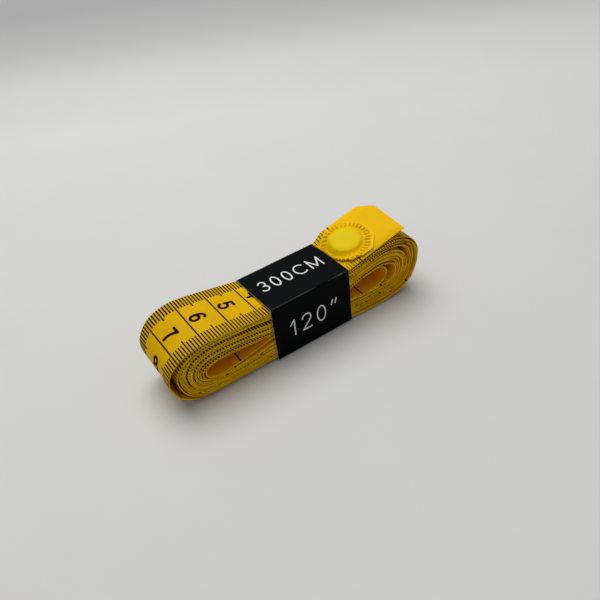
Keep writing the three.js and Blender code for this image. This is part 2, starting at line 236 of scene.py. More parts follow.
def mixOf(tree, factor, first, second):
    node = addNode(tree, "ShaderNodeMix", data_type="RGBA")
    tree.links.new(factor, node.inputs["Factor"])
    for socket, value in ((node.inputs["A"], first), (node.inputs["B"], second)):
        if isinstance(value, tuple):
            socket.default_value = value
        else:
            tree.links.new(value, socket)
    return node.outputs["Result"]


def setLook(tree, shader, colour, grain, least, most):
    # the colour, and a roughness from least to most by the grain
    tree.links.new(colour, shader.inputs["Base Color"])
    tree.links.new(spreadOf(tree, grain, *noiseRange, least, most), shader.inputs["Roughness"])


def addBump(tree, shader, height, strength, distance):
    bump = addNode(tree, "ShaderNodeBump", {"Strength": strength, "Distance": distance * mm})
    tree.links.new(height, bump.inputs["Height"])
    tree.links.new(bump.outputs["Normal"], shader.inputs["Normal"])


def tapeVinyl(name, roughness):
    # satin vinyl over a glass-fibre cloth, whose threads just show
    material, tree, shader = startMaterial(name, roughness, specular=0.025)
    place = tapePlace(tree)
    patches = noiseOf(tree, place, scale=0.11, detail=4)
    fine = noiseOf(tree, place, scale=2.4, detail=2)
    setLook(tree, shader, rampOf(tree, patches, *noiseRange, *shadesOf(name)), fine,
            least=roughness - 0.06, most=roughness + 0.08)
    threads = []
    for direction in ("X", "Y"):
        wave = addNode(tree, "ShaderNodeTexWave", {"Scale": 0.52, "Distortion": 0.6},
                       bands_direction=direction)
        tree.links.new(place, wave.inputs["Vector"])
        threads.append(wave.outputs["Fac"])
    weave = mathOf(tree, "MULTIPLY", *threads)
    addBump(tree, shader, mathOf(tree, "ADD", weave, fine), strength=0.25, distance=0.03)
    # some light comes through it, redder
    shader.inputs["Subsurface Weight"].default_value = 0.3
    shader.inputs["Subsurface Radius"].default_value = (1.0, 0.42, 0.03)
    shader.inputs["Subsurface Scale"].default_value = 0.5 * mm
    return material


def printInk(name):
    material, tree, shader = startMaterial(name, 0.5, specular=0.015)
    patches = noiseOf(tree, objectPlace(tree), scale=900)
    colour = rampOf(tree, patches, 0.35, 0.75, *shadesOf(name))
    setLook(tree, shader, colour, patches, least=0.5, most=0.68)
    return material


def coverFilm(name):
    # glossy vinyl film: paler over the snap's cap, a little cloudy where it was welded
    material, tree, shader = startMaterial(name, 0.3, specular=0.03)
    place = objectPlace(tree)
    cloud = noiseOf(tree, place, scale=260, detail=4)
    welded = rampOf(tree, cloud, 0.35, 0.7, *shadesOf(name))
    onCap = spreadOf(tree, splitOf(tree, tapePlace(tree))["Z"], low=1.1, high=1.5, least=0, most=1)
    colour = mixOf(tree, onCap, welded, screenColour(*filmOverCap))
    setLook(tree, shader, colour, cloud, least=0.18, most=0.34)
    addBump(tree, shader, noiseOf(tree, place, scale=700), strength=0.3, distance=0.05)
    return material


def bandPaper(name, box):
    # black coated paper, grey along its upper folds: partly rubbed wear, partly a painted sheen of the folds
    material, tree, shader = startMaterial(name, 0.5, specular=0.025)
    place = objectPlace(tree)
    fibres = noiseOf(tree, place, scale=1400, detail=5, roughness=0.7)
    base = rampOf(tree, fibres, 0.4, 0.75, *shadesOf(name))
    split = splitOf(tree, place)
    fromTop = mathOf(tree, "SUBTRACT", box[1].z, split["Z"])
    fromSide = mathOf(tree, "SUBTRACT", box[1].y, mathOf(tree, "ABSOLUTE", split["Y"], 0))
    fromFold = mathOf(tree, "ADD", fromTop, fromSide)
    near, far = (distance * mm for distance in foldWearAndSheen)
    onFold = spreadOf(tree, fromFold, near, far, least=1, most=0)
    scuffs = noiseOf(tree, place, scale=900, detail=6, roughness=0.8)
    rubbed = spreadOf(tree, scuffs, low=0.35, high=0.65, least=0.35, most=1)
    # the folds' grey: rubbed wear with a painted sheen in it
    wearAndSheen = mathOf(tree, "MULTIPLY", onFold, rubbed)
    colour = mixOf(tree, wearAndSheen, base, screenColour(*paperWornAndSheen))
    setLook(tree, shader, colour, fibres, least=0.42, most=0.62)
    addBump(tree, shader, fibres, strength=0.3, distance=0.03)
    return material


def speckled(name, roughness, scale, metallic=0.0):
    material, tree, shader = startMaterial(name, roughness)
    grain = noiseOf(tree, objectPlace(tree), scale, detail=4)
    setLook(tree, shader, rampOf(tree, grain, 0.35, 0.7, *shadesOf(name)), grain,
            least=roughness - 0.07, most=roughness + 0.1)
    shader.inputs["Metallic"].default_value = metallic
    addBump(tree, shader, grain, strength=0.3, distance=0.02)
    return material


tapeFace = tapeVinyl("tape_vinyl", roughness=0.46)
tapeTip = tapeVinyl("tape_plain_end", roughness=0.44)
# painted glow: the reverse faces get a more orange copy of the vinyl, standing in for light bounced inside the
# roll
tapeReversePaintedGlow = tapeVinyl("tape_reverse_painted_glow", roughness=0.46)
# cut edges: their own tint with painted light in it, brighter than the face
tapeEdgePaintedLight = tapeVinyl("tape_cut_edge_painted_light", roughness=0.55)
tapeInk = printInk("tape_ink")
bandWhite = printInk("band_white_ink")
film = coverFilm("cover_film")
paperBlack = bandPaper("band_paper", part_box("paper_band"))
paperCore = speckled("band_paper_core", roughness=0.8, scale=1800)
snapMetal = speckled("snap_nickel", roughness=0.26, scale=900, metallic=1.0)
springSteel = speckled("snap_spring_steel", roughness=0.2, scale=1500, metallic=1.0)
glue = speckled("band_glue", roughness=0.5, scale=500)
print("materials made")


# The tape's rolled length

tape = {
    "width": 20.0,
    "thickness": 0.35,
    "edgeRound": 0.07,
    "acrossSteps": 6,
    "turns": 16,            # the last half turn comes after them
    "smoothSteps": 4,       # steps of the smooth line between two places
    "seamX": 14.8,          # under the band, where the outer end begins
    "sidewaysDrift": 1.2,
    "heldDrift": 0.35,      # under the band
    "heldX": 14.0,          # the band holds the turns up to here
    "looseX": 22.0,         # and no more from here
    "driftLength": 70.0,
    "driftSeed": (4.7, 1.3),
    "driftStart": 12.0,     # along the tape, so that its two pieces meet
    "driftFull": 30.0,
}

# Places that every turn passes, seen at the near edge: x and height of the outermost turn,
# x and height of the innermost, and by how much some gaps are wider than the rest, as
# {turn outside the gap: width}. They start at the band's right edge, run over the top,
# round the left bow, back along the bottom, round the right bow and in under the outer end.
rollPlaces = [
    (14.8, 20.81, 14.8, 13.2, {}),
    (8.0, 20.81, 8.0, 12.9, {}),
    (-1.0, 20.81, -1.0, 12.9, {}),
    (-9.8, 20.81, -9.8, 12.8, {6: 0.3}),
    (-15.2, 20.1, -15.2, 11.5, {6: 1.35, 10: 0.2, 12: 0.2, 14: 0.25, 15: 0.2}),
    (-21.0, 20.45, -21.0, 12.0, {6: 1.15, 10: 0.2, 11: 0.15, 12: 0.2, 13: 0.15, 14: 0.2, 15: 0.15}),
    (-28.0, 21.05, -28.0, 12.7, {6: 0.7, 10: 0.2, 11: 0.2, 12: 0.2, 13: 0.2, 14: 0.2, 15: 0.15}),
    (-34.5, 21.3, -34.2, 12.9, {6: 0.55, 10: 0.25, 11: 0.2, 12: 0.25, 13: 0.2, 14: 0.25, 15: 0.2}),
    (-40.2, 21.0, -37.2, 12.6, {0: 0.4, 6: 0.5, 10: 0.3, 11: 0.2, 12: 0.3, 13: 0.25, 14: 0.3, 15: 0.2}),
    (-45.4, 19.6, -38.7, 12.1, {0: 0.9, 1: 0.2, 6: 0.5, 8: 0.2,
                                10: 0.35, 11: 0.3, 12: 0.3, 13: 0.3, 14: 0.3, 15: 0.3}),
    (-49.1, 17.1, -39.4, 11.5, {0: 1.5, 1: 0.4, 4: 0.3, 6: 0.5, 8: 0.2,
                                10: 0.4, 11: 0.3, 12: 0.3, 13: 0.3, 14: 0.3, 15: 0.5}),
    (-51.1, 13.9, -39.8, 10.7, {0: 1.9, 1: 0.5, 4: 0.3, 6: 0.5, 8: 0.2,
                                10: 0.4, 12: 0.4, 13: 0.2, 14: 0.3, 15: 0.7}),
    (-51.3, 10.7, -39.9, 9.6, {0: 2.1, 1: 0.5, 4: 0.2, 6: 0.4, 10: 0.4, 12: 0.3, 13: 0.2, 14: 0.3, 15: 0.7}),
    (-50.2, 7.3, -39.5, 8.6, {0: 1.8, 1: 0.4, 6: 0.4, 10: 0.3, 12: 0.2, 14: 0.3, 15: 0.6}),
    (-47.9, 4.3, -38.6, 7.8, {0: 1.2, 1: 0.2, 6: 0.25, 10: 0.2, 12: 0.2, 14: 0.2, 15: 0.3}),
    (-43.8, 1.8, -37.2, 7.3, {0: 0.5, 1: 0.1, 6: 0.1, 10: 0.1, 15: 0.15}),
    (-37.0, 0.85, -34.6, 6.95, {0: 0.1}),
    (-30.0, 0.7, -30.0, 6.75, {9: 0.1}),
    (-22.0, 0.85, -22.0, 7.45, {4: 0.15, 9: 0.25, 12: 0.2}),
    (-15.2, 1.2, -15.2, 8.3, {4: 0.2, 9: 0.2, 12: 0.2}),
    (-9.8, 1.1, -9.8, 8.1, {}),
    (0.0, 1.1, 0.0, 8.1, {}),
    (8.0, 1.1, 8.0, 8.1, {}),
    (15.2, 1.0, 15.2, 8.8, {2: 0.2, 5: 0.2, 8: 0.3, 12: 0.3}),
    (22.0, 0.55, 21.5, 8.5, {2: 0.3, 5: 0.3, 8: 0.4, 12: 0.4}),
    (28.6, 0.5, 26.4, 8.7, {2: 0.3, 4: 0.2, 8: 0.5, 12: 0.4}),
    (34.0, 0.9, 29.0, 9.35, {2: 0.3, 4: 0.2, 8: 0.4, 12: 0.3, 14: 0.8}),
    (38.6, 2.1, 30.4, 10.3, {0: 0.2, 2: 0.3, 5: 0.3, 8: 0.4, 11: 0.3, 14: 1.8}),
    (42.1, 4.6, 31.1, 11.3, {0: 0.3, 2: 0.4, 5: 0.5, 8: 0.4, 11: 0.4, 14: 2.8}),
    (44.4, 8.1, 31.4, 12.2, {0: 0.5, 2: 0.5, 5: 0.6, 7: 0.3, 9: 0.4, 11: 0.4, 14: 3.3}),
    (45.5, 12.1, 31.4, 13.0, {0: 0.5, 2: 0.5, 5: 0.8, 7: 0.3, 9: 0.4, 11: 0.3, 13: 0.3, 14: 3.3}),
    (45.5, 16.0, 31.1, 13.9, {0: 0.5, 2: 0.4, 3: 0.5, 5: 1.3, 7: 0.3, 9: 0.3, 11: 0.4, 13: 0.5, 14: 2.9}),
    (43.9, 19.4, 30.4, 14.8, {0: 0.5, 3: 0.7, 5: 1.7, 7: 0.4, 9: 0.4, 11: 0.4, 13: 0.8, 14: 1.8}),
    (40.8, 22.1, 29.2, 15.5, {0: 0.5, 3: 0.85, 5: 1.3, 7: 0.5, 9: 0.3, 11: 0.3, 13: 0.5, 14: 0.8}),
    (35.6, 23.85, 27.2, 15.9, {0: 0.45, 3: 0.65, 5: 0.8, 7: 0.4, 9: 0.2, 13: 0.2, 14: 0.2}),
    (29.0, 23.4, 24.6, 15.6, {0: 0.35, 3: 0.4, 5: 0.4, 7: 0.3, 9: 0.2}),
    (22.0, 21.75, 20.6, 14.8, {0: 0.1, 3: 0.2, 5: 0.15, 7: 0.1}),
]
halfTurnPlaces = 17     # the last half turn passes only so many of them
lapSteps = len(rollPlaces) * tape["smoothSteps"]

# The inner end leaves the last left bow and runs into the middle of the roll
innerEndPlaces = [(-29.5, 7.5), (-22.0, 8.75), (-15.2, 10.2), (-9.8, 10.45), (0.0, 10.45), (11.5, 10.45)]

# The roll isn't quite square: its bows stand higher at the far edge, by a share of the
# height at each place along it. Under the outer end the turns give way to the snap.
rollLean = [(-46, 0.21), (-40, 0.19), (-34, 0.16), (-28, 0.125), (-21, 0.095), (-16.8, 0.07),
            (-15.2, 0.045), (-9.8, 0), (15, 0), (18, 0.02), (21, 0.05), (24, 0.075), (27, 0.095)]
snapDent = {
    "start": 15.5,
    "end": 32.0,
    "depth": 1.7,
    "lowest": 11.0,         # height below which the turns stay as they are
    "full": 15.0,
    "across": [(0, 1), (3.3, 0.8), (6.6, 0.2), (9.9, 0)],
    "inkRise": 0.07,
}
bowFlare = {"startX": 38.0, "endX": 50.0, "startY": 3.3, "open": 0.45, "waist": 0.25}


def between(table, value):
    # a straight reading from a table of (value, result), held at its ends
    spot = bisect.bisect_left(table, (value,))
    if spot in (0, len(table)):
        return table[min(spot, len(table) - 1)][1]
    (low, before), (high, after) = table[spot - 1], table[spot]
    return before + (after - before) * (value - low) / (high - low)


def leanAndDent(x, y, z):
    z *= 1 + between(rollLean, x) * (y / tape["width"] + 0.5)
    middle = (snapDent["start"] + snapDent["end"]) / 2
    along = smooth(x, snapDent["start"], middle) * smooth(-x, -snapDent["end"], -middle)
    across = between(snapDent["across"], abs(y))
    z -= snapDent["depth"] * along * across * smooth(z, snapDent["lowest"], snapDent["full"])
    return Vector((x, y, z))


def turnPlace(number, turn):
    # where a turn passes the place of this number
    place = rollPlaces[number]
    outer, inner, wideGaps = Vector(place[0:2]), Vector(place[2:4]), place[4]
    depth = (inner - outer).length
    innermost = tape["turns"] if number < halfTurnPlaces else tape["turns"] - 1
    pitch = (depth - sum(wideGaps.values())) / innermost
    down = turn * pitch + sum(width for above, width in wideGaps.items() if turn > above)
    return outer.lerp(inner, down / depth)


def smoothLine(points, steps):
    line = []
    for i in range(len(points) - 1):
        a, b = points[max(i - 1, 0)], points[i]
        c, d = points[i + 1], points[min(i + 2, len(points) - 1)]
        for k in range(steps):
            t = k / steps
            line.append(0.5 * (2 * b + (c - a) * t + (2 * a - 5 * b + 4 * c - d) * t * t
                               + (3 * b - 3 * c + d - a) * t ** 3))
    line.append(points[-1])
    return line


def rollLine():
    points = [turnPlace(number, turn) for turn in range(tape["turns"] + 1)
              for number in range(len(rollPlaces) if turn < tape["turns"] else halfTurnPlaces)]
    points += [Vector(p) for p in innerEndPlaces]
    line = smoothLine(points, tape["smoothSteps"])
    lengths = [0.0]
    for a, b in zip(line, line[1:]):
        lengths.append(lengths[-1] + (b - a).length)
    directions = [directionAt(line, i) for i in range(len(line))]
    return {"line": line, "lengths": lengths, "outward": [Vector((d.y, -d.x)) for d in directions]}


roll = rollLine()
rollLength = roll["lengths"][-1]


def sideways(along, x):
    # the turns drift a little to either side, less where the band holds them
    loose = smooth(abs(x), tape["heldX"], tape["looseX"])
    reach = tape["heldDrift"] + (tape["sidewaysDrift"] - tape["heldDrift"]) * loose
    return reach * noise.noise(Vector((along / tape["driftLength"], *tape["driftSeed"])))


def flare(i, y):
    # the outermost turn opens like a trumpet at the near edge of the left bow
    if i >= lapSteps:
        return 0
    onBow = smooth(-roll["line"][i].x, bowFlare["startX"], bowFlare["endX"])
    nearEdge = max(0, -y - bowFlare["startY"]) / (tape["width"] / 2 - bowFlare["startY"])
    return onBow * (bowFlare["open"] * nearEdge - bowFlare["waist"])


def onRollStep(i, y, lift):
    point = roll["line"][i] + roll["outward"][i] * (tape["thickness"] / 2 + lift + flare(i, y))
    place = leanAndDent(point.x, y, point.y)
    along = roll["lengths"][i]
    place.y += sideways(along, point.x) * smooth(along, tape["driftStart"], tape["driftFull"])
    return place


def onRoll(along, y, lift):
    # a point of the roll: lift is above the printed outer face
    i = bisect.bisect_right(roll["lengths"], along) - 1
    i = min(max(i, 0), len(roll["lengths"]) - 2)
    share = (along - roll["lengths"][i]) / (roll["lengths"][i + 1] - roll["lengths"][i])
    return onRollStep(i, y, lift).lerp(onRollStep(i + 1, y, lift), share)


def inkOnRoll(along, y, lift):
    # the print lies a little prouder in the dent, whose sides are twisted
    spot = onRoll(along, y, lift)
    if lift > 0 and snapDent["start"] < spot.x < snapDent["end"] and spot.z > snapDent["lowest"]:
        spot.z += snapDent["inkRise"]
    return spot


def keepPlace(piece, alongAcross):
    # for the materials: each point's place on the tape or cover
    kept = piece.data.attributes.new("tapePlace", "FLOAT_VECTOR", "POINT")
    kept.data.foreach_set("vector", [c for spot in alongAcross for c in spot])


tapeMaterials = [tapeFace, tapeEdgePaintedLight, tapeReversePaintedGlow, tapeTip]
onFace, onEdge, onReverse, onTip = range(4)     # their numbers


def tapeSection():
    # y and lift round a section of the tape, and which material each side of it has
    half, edge, depth = tape["width"] / 2, tape["edgeRound"], tape["thickness"]
    steps = tape["acrossSteps"]
    flat = [(half - edge) * (2 * i / steps - 1) for i in range(steps + 1)]
    section = [(y, 0.0) for y in flat]
    section += [(half, -edge), (half, edge - depth)]
    section += [(y, -depth) for y in reversed(flat)]
    section += [(-half, edge - depth), (-half, -edge)]
    sides = [onFace] * steps + [onEdge] * 3 + [onReverse] * steps + [onEdge] * 3
    return section, sides


def tapeRibbon(name, stops, place, outline=None, plainFrom=math.inf):
    # a closed ribbon through sections at these distances along the tape
    section, sides = tapeSection()
    around = len(section)
    points, faces, slots, alongAcross = [], [], [], []
    for stop in stops:
        for y, lift in section:
            if outline:
                y = outline(stop, y)
            points.append(place(stop, y, lift))
            alongAcross.append((stop, y, lift))
    for i in range(len(stops) - 1):
        for j in range(around):
            a, b = i * around + j, i * around + (j + 1) % around
            faces.append((a, b, b + around, a + around))
            slots.append(onTip if sides[j] == onFace and stops[i] > plainFrom else sides[j])
    faces.append(tuple(reversed(range(around))))
    faces.append(tuple(range(len(points) - around, len(points))))
    slots += [onEdge, onEdge]
    piece = newMesh(name, points, faces, tapeMaterials, slots)
    keepPlace(piece, alongAcross)
    return piece


rolledTape = tapeRibbon("rolled_tape", roll["lengths"], onRoll)
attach(rolledTape, "roll")
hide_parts("tape_winding")
print(f"rolled tape: {rollLength:.0f} mm in {tape['turns']} turns and a half")


# The outer end, which leans up over the right bow

outerEnd = {
    "startX": 14.2,         # here it leaves the roll's flat top
    "easeLength": 5.7,
    "snapX": 22.623,
    "snapZ": 23.806,        # the tape's top face at the snap
    "flatTop": 21.0,
    "pitch": 13.4,          # degrees
    "lean": 2.66,           # rise across the width
    "tipX": 39.57,
    "clipLength": 4.4,
    "clipWidth": 4.8,
    "clipRound": 0.7,
    "step": 0.5,
    "plainX": 21.0,         # past here nothing is printed on it
}
outerSlope = math.tan(math.radians(outerEnd["pitch"]))
outerLean = outerEnd["lean"] / tape["width"]
outerNormal = Vector((-outerSlope, -outerLean, 1)).normalized()
outerAlong = Vector((1, 0, outerSlope)).normalized()
outerAcross = outerNormal.cross(outerAlong)


def onOuterEnd(x, y, lift):
    ease = smooth(x, outerEnd["startX"], outerEnd["startX"] + outerEnd["easeLength"])
    plane = outerEnd["snapZ"] + outerSlope * (x - outerEnd["snapX"]) + outerLean * y
    top = outerEnd["flatTop"] + (plane - outerEnd["flatTop"]) * ease
    return Vector((x, y, top)) + outerNormal * lift * ease + Vector((0, 0, lift * (1 - ease)))


def outerEndOutline(x, y):
    # the far corner of the tip is cut off
    beyond = x - outerEnd["tipX"] + outerEnd["clipLength"]
    beyond = (beyond + math.hypot(beyond, outerEnd["clipRound"])) / 2
    cut = outerEnd["clipWidth"] * beyond / outerEnd["clipLength"]
    half = tape["width"] / 2
    return -half + (y + half) * (1 - cut / tape["width"])


def makeOuterEnd():
    stops, x = [], tape["seamX"]
    while x < outerEnd["tipX"] - outerEnd["step"] / 2:
        stops.append(x)
        x += outerEnd["step"]
    stops.append(outerEnd["tipX"])
    return tapeRibbon("outer_end", stops[::-1], onOuterEnd, outerEndOutline, outerEnd["plainX"])


outerEndTape = makeOuterEnd()
print("outer end made")


# Marks of the centimetre side and the inch side

marks = {
    "zeroX": 21.6,          # on the outer end
    "slopeExtra": 0.15,     # the outer end is longer than it looks from above
    "centimetre": 10,
    "inch": 25.4,
    "inchPhase": 1.8,
    "endClear": 30.0,       # the scale stops this far from the inner end
    "inchEndClear": 20.0,
    "tickWidth": 0.46,
    "farWidth": 1.15,       # the far ticks are bolder, by this factor
    "tickLength": 3.9,
    "halfTickLength": 5.0,
    "nearLonger": 0.25,     # the near ticks reach further in
    "dotLength": 1.3,       # on the other turns
    "fullTurns": (0, 1, 7),  # turns whose printed face shows
    "lineWidth": 0.5,
    "inkLift": 0.018,
    "inkSink": 0.05,
    "wrap": 0.045,          # how far the ink runs down the cut edge
    "clearRun": 45.0,       # ticks inside the roll hide from the edge for such lengths
    "clearShare": -0.18,
    "clearSeed": (9.1, 2.2),
    "slant": 0.05,          # the print runs a little askew
    "farFirst": 2,          # the scale's first far tick; the cover hides those before it
    "endTickLength": 2.4,   # the ticks of the outer end are shorter and finer
    "endTickWidth": 0.17,
    "digitStart": 0.85,     # from a number's line to its foot
    "firstNumber": 2,       # the cover hides the first
    "wander": 1.3,          # the numbers wander across the tape
    "wanderRate": 0.4,      # radians for each of them
    "wanderFrom": 6.4,
}
tapeFont = {"height": 5.5, "weight": 0.92, "width": 0.82, "space": 0.5,
            "lift": 0.045, "sink": marks["inkSink"]}
seamScale = marks["zeroX"] - tape["seamX"] + marks["slopeExtra"]
# Spots of ink on the near edge: x, height and length
edgeSpots = [
    (40.2, 11.5, 0.6), (41.8, 11.8, 0.6), (43.0, 5.3, 1.1), (29.3, 8.2, 1.0), (18.3, 4.7, 0.7),
    (20.3, 3.8, 0.6), (34.0, 2.0, 0.9), (35.0, 2.9, 0.5), (18.0, 1.5, 0.7), (18.2, 7.5, 0.5),
    (28.6, 6.0, 0.5), (30.5, 6.6, 0.4), (-31.0, 6.3, 0.8), (-32.6, 5.5, 0.8), (-33.0, 3.1, 0.7),
    (-20.0, 6.2, 0.9), (-17.0, 3.0, 0.6), (-42.5, 3.5, 0.7),
]
farSpots = {"x": (-46, 42), "height": (2, 7), "length": 0.7, "seed": 5}
spotHeight = 0.33       # of the cut edge


def newInk():
    return {"points": [], "faces": []}


def addSlab(ink, rows, sunkRows):
    # a closed thin slab between rows of (left, right) points and the same rows sunk
    first = len(ink["points"])
    below = 2 * len(rows)
    for row in rows + sunkRows:
        ink["points"] += row
    last = first + below - 2
    for a in range(first, last, 2):
        b = a + below
        ink["faces"] += [(a, a + 1, a + 3, a + 2), (b, b + 2, b + 3, b + 1),
                         (a, a + 2, b + 2, b), (a + 1, b + 1, b + 3, a + 3)]
    ink["faces"].append((first, first + below, first + below + 1, first + 1))
    ink["faces"].append((last, last + 1, last + below + 1, last + below))


def addMark(ink, place, along, width, profile, sunkProfile):
    # one mark across the tape, whose profile is a list of (y, lift)
    def row(y, lift):
        middle = along + marks["slant"] * y
        return place(middle - width / 2, y, lift), place(middle + width / 2, y, lift)

    addSlab(ink, [row(*spot) for spot in profile], [row(*spot) for spot in sunkProfile])


def tickProfiles(side, length):
    # over the cut edge and in across the printed face; side is -1 near, 1 far
    half, lift, sink = tape["width"] / 2, marks["inkLift"], marks["inkSink"]
    over = [(side * (half + lift), -marks["wrap"]), (side * (half + lift / 2), lift)]
    under = [(side * (half - sink), -marks["wrap"]), (side * (half - sink), -sink)]
    column = tape["width"] / tape["acrossSteps"]
    for inset in [column] * (length > column) + [length]:
        over.append((side * (half - inset), lift))
        under.append((side * (half - inset), -sink))
    return over, under


def tickPair(length, longest):
    near = min(length + marks["nearLonger"], longest)
    return {-1: tickProfiles(-1, near), 1: tickProfiles(1, min(length, longest))}


def lineProfiles(face):
    # right across and down the edges: face is 1 on the printed face and -1 on the reverse
    half, lift, sink = tape["width"] / 2, marks["inkLift"], marks["inkSink"]
    steps = 2 * tape["acrossSteps"]
    base = 0 if face > 0 else -tape["thickness"]
    across = [(half + lift / 2) * (2 * i / steps - 1) for i in range(steps + 1)]
    over = [(y, base + face * lift) for y in across]
    under = [(y * (1 - sink / half), base - face * sink) for y in across]
    low = base - face * marks["wrap"]
    over = [(-half - lift, low)] + over + [(half + lift, low)]
    under = [(sink - half, low)] + under + [(half - sink, low)]
    return over, under


def printedFully(along):
    # whether the printed face shows here, by the number of the turn
    turn = (bisect.bisect_right(roll["lengths"], along) - 1) // lapSteps
    return turn in marks["fullTurns"]


def hiddenRun(along):
    return noise.noise(Vector((along / marks["clearRun"], *marks["clearSeed"]))) < marks["clearShare"]


def addScale(ink, place, first, last, offset, isFull, width, farFirst=0, longest=math.inf):
    # every millimetre from first to last on the scale
    shorts, longs = (tickPair(marks[key], longest) for key in ("tickLength", "halfTickLength"))
    dots = {side: tickProfiles(side, marks["dotLength"]) for side in (-1, 1)}
    across = lineProfiles(1)
    for step in range(first, last + 1):
        along = offset(step)
        full = isFull(along)
        if not full and hiddenRun(along):
            continue
        if full and step % marks["centimetre"] == 0:
            addMark(ink, place, along, marks["lineWidth"], *across)
            continue
        halfWay = step % (marks["centimetre"] // 2) == 0
        kind = dots if not full else longs if halfWay else shorts
        addMark(ink, place, along, width, *kind[-1])
        if step >= farFirst:
            addMark(ink, place, along, width * marks["farWidth"], *kind[1])


def addInchLines(ink, place, first, last):
    profiles = lineProfiles(-1)
    along = first
    while along < last:
        addMark(ink, place, along, marks["lineWidth"], *profiles)
        along += marks["inch"]


def addEdgeSpots(ink):
    # ink that ran over a cut edge, on both sides of the roll: the far ones are by chance
    half, lift, sink = tape["width"] / 2, marks["inkLift"], marks["inkSink"]
    chance = random.Random(farSpots["seed"])
    spots = [(-1, x, z, size) for x, z, size in edgeSpots]
    spots += [(1, chance.uniform(*farSpots["x"]), chance.uniform(*farSpots["height"]), farSpots["length"])
              for _ in edgeSpots]
    inset = (tape["thickness"] - spotHeight) / 2
    for side, x, z, size in spots:
        i = min(range(len(roll["line"])), key=lambda k: (roll["line"][k] - Vector((x, z))).length)
        over = [(side * (half + lift), -inset), (side * (half + lift), inset - tape["thickness"])]
        under = [(side * (half - sink), -inset), (side * (half - sink), inset - tape["thickness"])]
        addMark(ink, onRoll, roll["lengths"][i], size, over, under)


# Stroke letters: each stroke is a line or part of an ellipse, in shares of the height

penStroke = {
    "arcStep": 15,          # degrees between the points of an ellipse
    "fewestSteps": 4,
    "spacing": 0.7,         # of the points along a stroke, as a share of its weight
    "closed": 0.1,          # ends nearer than this share of the weight are one
    "endSteps": 5,          # round each end
    "nearest": 1e-4,        # points nearer than this become one
}


def ellipse(centreX, centreY, radiusX, radiusY, start, end):
    count = max(penStroke["fewestSteps"], round(abs(end - start) / penStroke["arcStep"]))
    angles = [math.radians(start + (end - start) * i / count) for i in range(count + 1)]
    return [(centreX + radiusX * math.cos(a), centreY + radiusY * math.sin(a)) for a in angles]


def turned(strokes, width):
    return [[(width - x, 1 - y) for x, y in stroke] for stroke in strokes]


sixStrokes = [ellipse(0.28, 0.3, 0.28, 0.3, 0, 360), ellipse(0.36, 0.38, 0.36, 0.62, 190, 62)]
letters = {             # width and strokes
    "0": (0.55, [ellipse(0.275, 0.5, 0.275, 0.5, 0, 360)]),
    "1": (0.36, [[(0.26, 0), (0.26, 1)], [(0.26, 1), (0.02, 0.74)]]),
    "2": (0.58, [ellipse(0.28, 0.72, 0.28, 0.28, 172, -32), [(0.52, 0.57), (0.0, 0.0)],
                 [(0.0, 0.0), (0.58, 0.0)]]),
    "3": (0.58, [ellipse(0.27, 0.76, 0.25, 0.24, 155, -90), ellipse(0.27, 0.26, 0.29, 0.26, 90, -155)]),
    "4": (0.62, [[(0.44, 1), (0.0, 0.37)], [(0.0, 0.37), (0.62, 0.37)], [(0.46, 0), (0.46, 1)]]),
    "5": (0.6, [[(0.56, 1), (0.13, 1)], [(0.13, 1), (0.05, 0.5)],
                ellipse(0.28, 0.31, 0.3, 0.31, 140, -160)]),
    "6": (0.56, sixStrokes),
    "7": (0.56, [[(0.0, 1), (0.56, 1)], ellipse(0.86, 0.0, 0.66, 1.1, 118, 180)]),
    "8": (0.58, [ellipse(0.29, 0.76, 0.23, 0.24, 0, 360), ellipse(0.29, 0.26, 0.29, 0.26, 0, 360)]),
    "9": (0.56, turned(sixStrokes, 0.56)),
    "C": (0.84, [ellipse(0.48, 0.5, 0.48, 0.5, 46, 314)]),
    "M": (0.94, [[(0, 0), (0, 1)], [(0, 1), (0.47, 0.1)], [(0.47, 0.1), (0.94, 1)], [(0.94, 1), (0.94, 0)]]),
    "″": (0.34, [[(0.0, 0.71), (0.1, 1)], [(0.26, 0.71), (0.36, 1)]]),
}


def evenly(stroke, step):
    # the stroke's points with none further apart than step
    points = [Vector(stroke[0])]
    for corner in stroke[1:]:
        points += evenlyTo(points[-1], corner, step)
    return points


def roundEnd(centre, start):
    # half a turn round the end of a stroke
    steps = penStroke["endSteps"]
    return [centre + Matrix.Rotation(-math.pi * i / steps, 2) @ (start - centre) for i in range(1, steps)]


def strokeOutline(points, weight):
    # the outline of a pen stroke with round ends
    left, right = [], []
    for i, point in enumerate(points):
        along = directionAt(points, i)
        side = Vector((-along.y, along.x)) * weight / 2
        left.append(point + side)
        right.append(point - side)
    outline = left + roundEnd(points[-1], left[-1]) + right[::-1] + roundEnd(points[0], right[0])
    return outline[::-1]


def letterOutlines(strokes, left, font):
    weight = font["weight"]
    scale = font["height"] - weight
    outlines = []
    for stroke in strokes:
        points = evenly([(left + weight / 2 + x * scale * font["width"], weight / 2 + y * scale)
                         for x, y in stroke], weight * penStroke["spacing"])
        if (points[0] - points[-1]).length < weight * penStroke["closed"]:
            # a closed stroke is drawn as two halves that overlap
            half = len(points) // 2
            outlines.append(strokeOutline(points[:half + 1], weight))
            outlines.append(strokeOutline(points[half:], weight))
        else:
            outlines.append(strokeOutline(points, weight))
    return outlines


